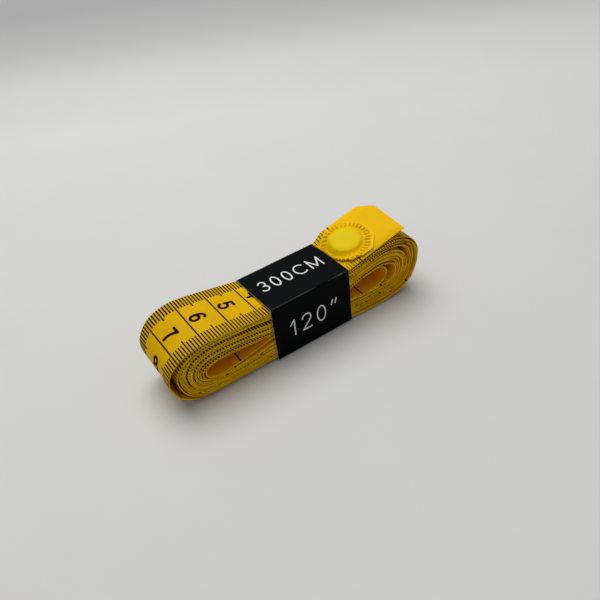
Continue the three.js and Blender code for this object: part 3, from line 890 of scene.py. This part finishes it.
def addLetter(ink, outlines, font, place):
    # one slab with the outlines' joint shape
    corners = [point for outline in outlines for point in outline]
    loops, first = [], 0
    for outline in outlines:
        loops.append(list(range(first, first + len(outline))))
        first += len(outline)
    flat, _, triangles, _, _, owners = delaunay_2d_cdt(corners, [], loops, 1, penStroke["nearest"])
    triangles = [t for t, owner in zip(triangles, owners) if owner]
    start, count = len(ink["points"]), len(flat)
    for lift in (font["lift"], -font["sink"]):
        ink["points"] += [place(p.x, p.y, lift) for p in flat]
    sides = {}
    for triangle in triangles:
        for a, b in zip(triangle, triangle[1:] + triangle[:1]):
            sides[(a, b)] = True
        ink["faces"].append(tuple(start + i for i in triangle))
        ink["faces"].append(tuple(start + count + i for i in reversed(triangle)))
    for a, b in sides:
        if (b, a) not in sides:
            ink["faces"].append((start + b, start + a, start + count + a, start + count + b))


def addText(ink, text, font, space, place):
    # place(right, up, lift) puts a point of the line of text on its surface
    left = 0.0
    scale = font["height"] - font["weight"]
    for character in text:
        width, strokes = letters[character]
        addLetter(ink, letterOutlines(strokes, left, font), font, place)
        left += width * scale * font["width"] + font["weight"] + space


def textWidth(text, font, space):
    scale = (font["height"] - font["weight"]) * font["width"]
    return sum(letters[c][0] * scale + font["weight"] + space for c in text) - space


def addNumber(ink, number, onTape):
    # a number stands with its foot towards its own line and reads across the tape
    wide = textWidth(str(number), tapeFont, tapeFont["space"])
    foot = number * marks["centimetre"] - marks["digitStart"]
    row = marks["wander"] * math.sin(marks["wanderRate"] * (marks["wanderFrom"] - number))

    def place(right, up, lift):
        y = wide / 2 - right + row
        return onTape(foot - up + marks["slant"] * y, y, lift)

    addText(ink, str(number), tapeFont, tapeFont["space"], place)


def printRoll():
    ink = newInk()
    lastMark = math.floor(seamScale + rollLength - marks["endClear"])
    addScale(ink, inkOnRoll, math.ceil(seamScale), lastMark,
             lambda step: step - seamScale, printedFully, marks["tickWidth"])
    # only the outermost turn shows its numbers
    lastNumber = math.floor((seamScale + roll["lengths"][lapSteps]) / marks["centimetre"])
    for number in range(marks["firstNumber"], lastNumber + 1):
        addNumber(ink, number, lambda scale, y, lift: inkOnRoll(scale - seamScale, y, lift))
    addInchLines(ink, onRoll, marks["inchPhase"], rollLength - marks["inchEndClear"])
    addEdgeSpots(ink)
    piece = newMesh("scale_print", ink["points"], ink["faces"], [tapeInk])
    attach(piece, "roll")
    return piece


def printOuterEnd():
    # the scale's first millimetres, up to its zero under the snap's cover
    squeeze = (marks["zeroX"] - tape["seamX"]) / seamScale

    def toX(scale):
        return marks["zeroX"] - scale * squeeze

    def place(x, y, lift):
        return onOuterEnd(x, y, lift + marks["inkLift"] * (lift > 0))

    ink = newInk()
    addScale(ink, place, 0, math.floor(seamScale), toX, lambda along: True,
             marks["endTickWidth"], marks["farFirst"], marks["endTickLength"])
    return newMesh("outer_end_print", ink["points"], ink["faces"], [tapeInk])


rollPrint = printRoll()
outerPrint = printOuterEnd()
print("scale printed:", len(rollPrint.data.polygons), "faces")


# The welded film covers over the two snaps

cover = {
    "discRadius": 5.15,
    "discTop": 1.54,
    "discCrown": 0.06,      # how much lower the disc's edge is
    "crownPower": 4,
    "wallRadius": 7.2,
    "wallBend": 1.7,
    "valley": 0.34,         # between the ribs
    "film": 0.15,
    "ribs": 35,
    "ribHeight": 0.52,
    "ribStart": 6.5,
    "ribEnd": 8.7,
    "ribRise": 0.45,        # the slope at its start
    "ribFall": 0.5,
    "ribWander": 0.35,      # in shares of the room for one
    "ribUneven": 0.3,
    "ribSeed": (3.3, 8.1),
    "ribSeedStep": 1.7,
    "ridge": (0.2, 0.75),
    "rimHeight": 0.26,
    "rimWave": 0.12,
    "rimStart": 0.3,        # before the ribs' ends
    "waves": 3,
    "discRings": 5,
    "wallRings": 8,
    "flangeRings": 14,
    "sectors": 350,
    "under": 0.03,
    "underSag": 0.02,
    "liftMiddle": 252.0,    # degrees: here the torn edge stands off the tape most
    "liftSpread": 0.2,      # cosine of the angle where this ends
    "lift": 0.62,
    "stiffRadius": 5.7,     # the snap holds the film flat up to here
    "laidRadius": 6.9,      # from here it follows the tape
    "bandEdge": 15.45,      # x where the paper band stops it
    "snapBack": 0.15,       # its middle is this far back from the outer end's snapX
    "innerShare": 0.92,     # the inner cover's flange is smaller
    "innerShareFrom": 6.5,
    "innerShareTo": 9.0,
}
# Corners of the flange's torn edge, as angle and distance from the snap's axis
rimCorners = [
    (0, 8.4), (17, 8.7), (31, 8.6), (46, 8.7), (60, 8.5), (74, 8.7), (90, 8.8), (107, 9.0),
    (124, 9.1), (139, 9.2), (180, 8.2), (218, 8.2), (245, 9.0), (263, 8.7), (268, 9.3),
    (294, 10.2), (318, 9.5), (329, 9.9), (338, 9.0), (360, 8.4),
]


def coverRim(angle):
    # how far out the torn edge is: straight cuts between the corners
    degrees = math.degrees(angle) % 360
    spot = max(i for i, corner in enumerate(rimCorners[:-1]) if corner[0] <= degrees)
    (before, near), (after, far) = rimCorners[spot], rimCorners[spot + 1]
    a, b = math.radians(degrees - before), math.radians(after - degrees)
    return near * far * math.sin(a + b) / (near * math.sin(a) + far * math.sin(b))


def coverLift(radius, angle, rim):
    near = smooth(math.cos(angle - math.radians(cover["liftMiddle"])), cover["liftSpread"], 1)
    return cover["lift"] * near * smooth(radius, cover["ribStart"], rim)


def ribLift(radius, rib):
    # one of the weld's ribs, whose ends are uneven
    uneven = noise.noise(Vector((round(rib) * cover["ribSeedStep"], *cover["ribSeed"])))
    start = cover["ribStart"] + cover["ribUneven"] * uneven
    end = cover["ribEnd"] + cover["ribUneven"] * uneven
    ridge = smooth(0.5 + 0.5 * math.cos(2 * math.pi * rib), *cover["ridge"])
    onRib = smooth(radius, start, start + cover["ribRise"]) * smooth(-radius, -end, cover["ribFall"] - end)
    return cover["ribHeight"] * ridge * onRib


def coverHeight(radius, angle, rim):
    # height of the film above the tape
    edgeTop = cover["discTop"] - cover["discCrown"]
    if radius <= cover["discRadius"]:
        return cover["discTop"] - cover["discCrown"] * (radius / cover["discRadius"]) ** cover["crownPower"]
    upWall = max(0, cover["wallRadius"] - radius) / (cover["wallRadius"] - cover["discRadius"])
    height = cover["valley"] + (edgeTop - cover["valley"]) * upWall ** cover["wallBend"]
    waves = cover["waves"]
    wobble = noise.noise(Vector((waves * math.cos(angle), waves * math.sin(angle), radius / waves)))
    height += ribLift(radius, angle / (2 * math.pi) * cover["ribs"] + cover["ribWander"] * wobble)
    outside = smooth(radius, cover["ribEnd"] - cover["rimStart"], rim)
    height += (cover["rimHeight"] - cover["valley"] + cover["rimWave"] * wobble) * outside
    return height + coverLift(radius, angle, rim)


def ringsBetween(start, end, count):
    return [start + (end - start) * k / count for k in range(1, count + 1)]


def coverProfile(angle):
    # radius and height from the disc out over the flange and back underneath
    rim = coverRim(angle)
    disc = ringsBetween(0, cover["discRadius"], cover["discRings"])
    wall = ringsBetween(cover["discRadius"], cover["wallRadius"], cover["wallRings"])
    flange = ringsBetween(cover["wallRadius"], rim, cover["flangeRings"])
    profile = [(r, coverHeight(r, angle, rim)) for r in disc + wall + flange]
    profile.append((rim, cover["under"] + coverLift(rim, angle, rim)))
    profile.append((cover["wallRadius"] - cover["film"], cover["under"]))
    profile += [(r, coverHeight(r, angle, rim) - cover["film"]) for r in reversed(wall[:-1:2])]
    profile.append((cover["discRadius"], cover["discTop"] - cover["discCrown"] - cover["film"]))
    profile.append((cover["discRadius"] / 2, cover["discTop"] - cover["film"] - cover["underSag"]))
    return profile


def makeCover(name, place):
    # place(along, across, height) puts a point of the cover over its snap
    alongAcross, faces = [(0, 0, cover["discTop"])], []
    sectors = cover["sectors"]
    for sector in range(sectors):
        angle = 2 * math.pi * sector / sectors
        profile = coverProfile(angle)
        alongAcross += [(r * math.cos(angle), r * math.sin(angle), h) for r, h in profile]
    alongAcross.append((0, 0, cover["discTop"] - cover["film"]))
    rings, last = len(profile), len(alongAcross) - 1
    for sector in range(sectors):
        here = 1 + sector * rings
        after = 1 + (sector + 1) % sectors * rings
        faces.append((0, here, after))
        for k in range(rings - 1):
            faces.append((here + k, here + k + 1, after + k + 1, after + k))
        faces.append((here + rings - 1, last, after + rings - 1))
    points = [place(*spot) for spot in alongAcross]
    piece = newMesh(name, points, faces, [film], sharpAngle=60)
    keepPlace(piece, alongAcross)
    return piece


outerSnapPlace = Matrix((outerAlong, outerAcross, outerNormal)).transposed().to_4x4()
outerSnapPlace.translation = (outerAlong * -cover["snapBack"]
                              + Vector((outerEnd["snapX"], 0, outerEnd["snapZ"])))


def onOuterSnap(along, across, height):
    # the dome is stiff over its snap, and the flange follows the tape, up to the band
    stiff = outerSnapPlace @ Vector((along, across, height))
    foot = outerSnapPlace @ Vector((along, across, 0))
    laid = onOuterEnd(max(foot.x, cover["bandEdge"]), foot.y, height)
    return stiff.lerp(laid, smooth(math.hypot(along, across), cover["stiffRadius"], cover["laidRadius"]))


outerCover = makeCover("outer_cover", onOuterSnap)
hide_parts("outer_end_cover")

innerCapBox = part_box("inner_snap_cap")
innerSnapPlace = Matrix.Translation((
    (innerCapBox[0].x + innerCapBox[1].x) / 2 / mm, 0, innerEndPlaces[-1][1] + tape["thickness"] / 2))


def onInnerSnap(along, across, height):
    beyond = smooth(math.hypot(along, across), cover["innerShareFrom"], cover["innerShareTo"])
    share = 1 - (1 - cover["innerShare"]) * beyond
    return innerSnapPlace @ Vector((along * share, across * share, height))


innerCover = makeCover("inner_cover", onInnerSnap)
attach(innerCover, "roll")
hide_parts("inner_end_cover")
print("snap covers made")


# The outer end's transform is baked into its mesh, and its print's and cover's with it

def bendAtBand(piece):
    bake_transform(piece)


bendAtBand(outerEndTape)
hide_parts("tape_free_end")
bendAtBand(outerPrint)
bendAtBand(outerCover)


# The paper band, one strip folded round the roll and lapped underneath

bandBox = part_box("paper_band")
band = {
    "paper": 0.25,
    "foldRadius": 0.75,
    "foldSteps": 5,
    "lapWidth": 10.0,
    "lapStep": 1.5,
    "lapRise": 0.35,
    "lapSpacing": 2.0,      # between the points of the section
    "wallSpacing": 1.8,
    "lengthSteps": 30,
    "flatBelow": 2.0,       # the underside stays flat on the table
    "freeAbove": 5.0,
    "wave": 0.09,
    "waveLength": 8.0,
    "waveRound": 7.0,
    "edgeWave": 0.16,
    "edgeWaveLength": 9.0,
    "edgeSeed": 5,
}


def bandLine():
    # centre line of the strip's section in y and z, from the inner lap to the outer one
    side = bandBox[1].y / mm - band["paper"] / 2
    low, high = band["paper"] / 2, bandBox[1].z / mm - band["paper"] / 2
    half, radius, steps = band["lapWidth"] / 2, band["foldRadius"], band["foldSteps"]
    lapEnd, lapStart = (half, low + band["lapRise"]), (-half, low + band["lapRise"])
    # centre of each fold, and the angle at which it starts
    folds = [(radius - side, low + radius, -90), (radius - side, high - radius, 180),
             (side - radius, high - radius, 90), (side - radius, low + radius, 0)]
    line = [Vector(lapEnd)]
    for corner in (lapStart, (-half - band["lapStep"], low)):
        line += evenlyTo(line[-1], corner, band["lapSpacing"])
    for y, z, start in folds:
        angles = [math.radians(start - 90 * i / steps) for i in range(steps + 1)]
        bend = [Vector((y + radius * math.cos(a), z + radius * math.sin(a))) for a in angles]
        line += evenlyTo(line[-1], bend[0], band["wallSpacing"])
        line += bend[1:]
    line += evenlyTo(line[-1], (-half, low), band["wallSpacing"])
    return line


def makeBand():
    line = bandLine()
    left, right = bandBox[0].x / mm, bandBox[1].x / mm
    onBlack, onCore = range(2)      # the numbers of its materials
    points, faces, slots = [], [], []
    rows = band["lengthSteps"] + 1
    for i, point in enumerate(line):
        along = directionAt(line, i)
        inward = Vector((along.y, -along.x))        # the line runs clockwise round the roll
        free = smooth(point.y, band["flatBelow"], band["freeAbove"])
        for row in range(rows):
            share = row / band["lengthSteps"]
            rough = Vector((point.x / band["edgeWaveLength"], point.y / band["edgeWaveLength"],
                            band["edgeSeed"] * round(share)))
            ragged = band["edgeWave"] * noise.noise(rough)
            x = left + (right - left) * share + ragged * free * (share in (0, 1))
            spread = Vector((x / band["waveLength"], point.x / band["waveRound"], point.y / band["waveRound"]))
            wave = band["wave"] * free * noise.noise(spread)
            middle = point + inward * abs(wave)
            for face in (1, -1):
                spot = middle + inward * band["paper"] / 2 * face
                points.append((x, spot.x, spot.y))
    each = 2 * rows
    for i in range(len(line) - 1):
        for row in range(rows - 1):
            a = i * each + 2 * row
            faces.append((a, a + each, a + each + 2, a + 2))                    # inside
            faces.append((a + 1, a + 3, a + each + 3, a + each + 1))            # outside
            slots += [onCore, onBlack]
        a, z = i * each, i * each + 2 * (rows - 1)
        faces.append((a, a + 1, a + each + 1, a + each))
        faces.append((z, z + each, z + each + 1, z + 1))
        slots += [onCore, onCore]
    for i in (0, len(line) - 1):
        for row in range(rows - 1):
            a = i * each + 2 * row
            quad = (a, a + 2, a + 3, a + 1)
            faces.append(quad if i == 0 else quad[::-1])
            slots.append(onCore)
    piece = newMesh("paper_wrap", points, faces, [paperBlack, paperCore], slots)
    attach(piece, "band")
    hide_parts("paper_band")


makeBand()

bandText = {
    "topText": "300CM",
    "topLeft": -11.8,
    "topRight": 11.7,
    "topBase": -1.75,
    "topTurn": -0.03,
    "frontText": "120″",
    "frontLeft": -9.3,
    "frontRight": 9.5,
    "frontBase": 6.9,
}
topFont = {"height": 5.55, "weight": 0.49, "width": 0.88, "lift": 0.02, "sink": 0.14}
frontFont = {"height": 6.55, "weight": 0.5, "width": 0.98, "lift": 0.02, "sink": 0.14}


def addFitted(ink, text, font, width, place):
    # a line of text, with the space between its letters that makes it this wide
    space = (width - textWidth(text, font, 0)) / (len(text) - 1)
    addText(ink, text, font, space, place)


def printBand():
    text = bandText
    top, front = bandBox[1].z / mm, bandBox[0].y / mm

    def onTop(right, up, lift):
        return Vector((text["topLeft"] + right, text["topBase"] + up + text["topTurn"] * right, top + lift))

    def onFront(right, up, lift):
        return Vector((text["frontLeft"] + right, front - lift, text["frontBase"] + up))

    ink = newInk()
    addFitted(ink, text["topText"], topFont, text["topRight"] - text["topLeft"], onTop)
    addFitted(ink, text["frontText"], frontFont, text["frontRight"] - text["frontLeft"], onFront)
    piece = newMesh("band_print", ink["points"], ink["faces"], [bandWhite])
    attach(piece, "band")


printBand()
print("paper band made and printed")


# CAD pieces that keep their shape

def finishNode(name, material):
    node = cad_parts[name]
    node.data.materials.clear()
    node.data.materials.append(material)


for name in ("outer_snap_cap", "outer_snap_socket", "inner_snap_cap", "inner_snap_stud"):
    finishNode(name, snapMetal)
finishNode("outer_snap_spring", springSteel)
finishNode("band_glue_strip", glue)


# Floor, backdrop and light

studio = {
    "floorColour": (213, 213, 210),
    # the wall's colour is a painted shade, darker than the floor
    "wallShadeColour": (176, 176, 177),
    "shadeFrom": 12.0,      # heights between which the paper turns to the wall's darker colour, a painted shade
    "shadeTo": 45.0,
    "mottle": 0.06,
    "near": -6000.0,
    "wallStart": 195.0,
    "coveRadius": 110.0,
    "coveSteps": 24,
    "wallLean": 42,         # degrees up from the floor
    "wallLength": 1600.0,
    "halfWidth": 6000.0,
    "horizon": 0.42,        # how bright the room looks past the backdrop
    "skyAbove": 0.31,
    "skyLevel": 0.28,
    "skyFrom": -0.2,        # of the way up, where the sky starts to brighten
    "keyPower": 6.7,
    "keySize": 0.85,        # metres
    "keyFrom": (50, 300, 850),
}


def backdropPaper():
    floorColour, wallShadeColour = (screenColour(*studio[k]) for k in ("floorColour", "wallShadeColour"))
    material, tree, shader = startMaterial("backdrop_paper", 0.6, specular=0.2)
    place = objectPlace(tree)
    rise = spreadOf(tree, splitOf(tree, place)["Z"], studio["shadeFrom"] * mm, studio["shadeTo"] * mm,
                    least=0, most=1)
    # painted shade: the paper is painted darker up the wall, for the dimmer light there
    shade = rampOf(tree, rise, 0, 1, floorColour, wallShadeColour)
    mottle = spreadOf(tree, noiseOf(tree, place, scale=25), *noiseRange, least=0, most=studio["mottle"])
    tree.links.new(mixOf(tree, mottle, shade, wallShadeColour), shader.inputs["Base Color"])
    addBump(tree, shader, noiseOf(tree, place, scale=1500, detail=2), strength=0.1, distance=0.02)
    return material


def makeBackdrop(azimuth):
    # a floor that curves up into a sloping wall, away from the camera
    far = Vector((-math.sin(azimuth), math.cos(azimuth), 0))
    across = Vector((far.y, -far.x, 0))
    lean, steps, cove = math.radians(studio["wallLean"]), studio["coveSteps"], studio["coveRadius"]
    profile = [(studio["near"], 0.0)]
    for i in range(steps + 1):
        angle = lean * i / steps
        profile.append((studio["wallStart"] + cove * math.sin(angle), cove * (1 - math.cos(angle))))
    foot, level = profile[-1]
    wall = studio["wallLength"]
    profile.append((foot + wall * math.cos(lean), level + wall * math.sin(lean)))
    points = [far * depth + across * side * studio["halfWidth"] + Vector((0, 0, height))
              for depth, height in profile for side in (-1, 1)]
    faces = [(2 * i, 2 * i + 1, 2 * i + 3, 2 * i + 2) for i in range(len(profile) - 1)]
    newMesh("backdrop", points, faces, [backdropPaper()], sharpAngle=60)


def makeSky():
    # a pale even room, a little brighter overhead, which gloss and the camera see alike
    world = bpy.data.worlds.new("studioSky")
    world.use_nodes = True
    tree = world.node_tree
    up = splitOf(tree, tree.nodes.new("ShaderNodeTexCoord").outputs["Generated"])["Z"]
    glow = spreadOf(tree, up, studio["skyFrom"], 1, studio["skyLevel"], studio["skyAbove"])
    rays = tree.nodes.new("ShaderNodeLightPath").outputs
    mirrored = mathOf(tree, "MAXIMUM", rays["Is Glossy Ray"], rays["Is Transmission Ray"])
    seen = mathOf(tree, "MAXIMUM", rays["Is Camera Ray"], mirrored)
    glow = mathOf(tree, "MAXIMUM", glow, mathOf(tree, "MULTIPLY", seen, studio["horizon"]))
    tree.links.new(glow, tree.nodes["Background"].inputs["Strength"])
    tree.nodes["Background"].inputs["Color"].default_value = (1, 1, 1, 1)
    bpy.context.scene.world = world


def makeKeyLight():
    lamp = bpy.data.lights.new("softKey", "AREA")
    lamp.shape, lamp.size, lamp.energy = "DISK", studio["keySize"], studio["keyPower"]
    key = bpy.data.objects.new("softKey", lamp)
    key.location = Vector(studio["keyFrom"]) * mm
    key.rotation_euler = (-key.location).to_track_quat("-Z", "Y").to_euler()
    bpy.context.scene.collection.objects.link(key)


makeBackdrop(math.radians(cameraView["azimuth"]))
makeSky()
makeKeyLight()
bpy.context.scene.view_settings.view_transform = "Standard"
print("studio lit")


# The tape is one sheet, cut 20 mm wide, in two pieces that meet under the band

print("finished")
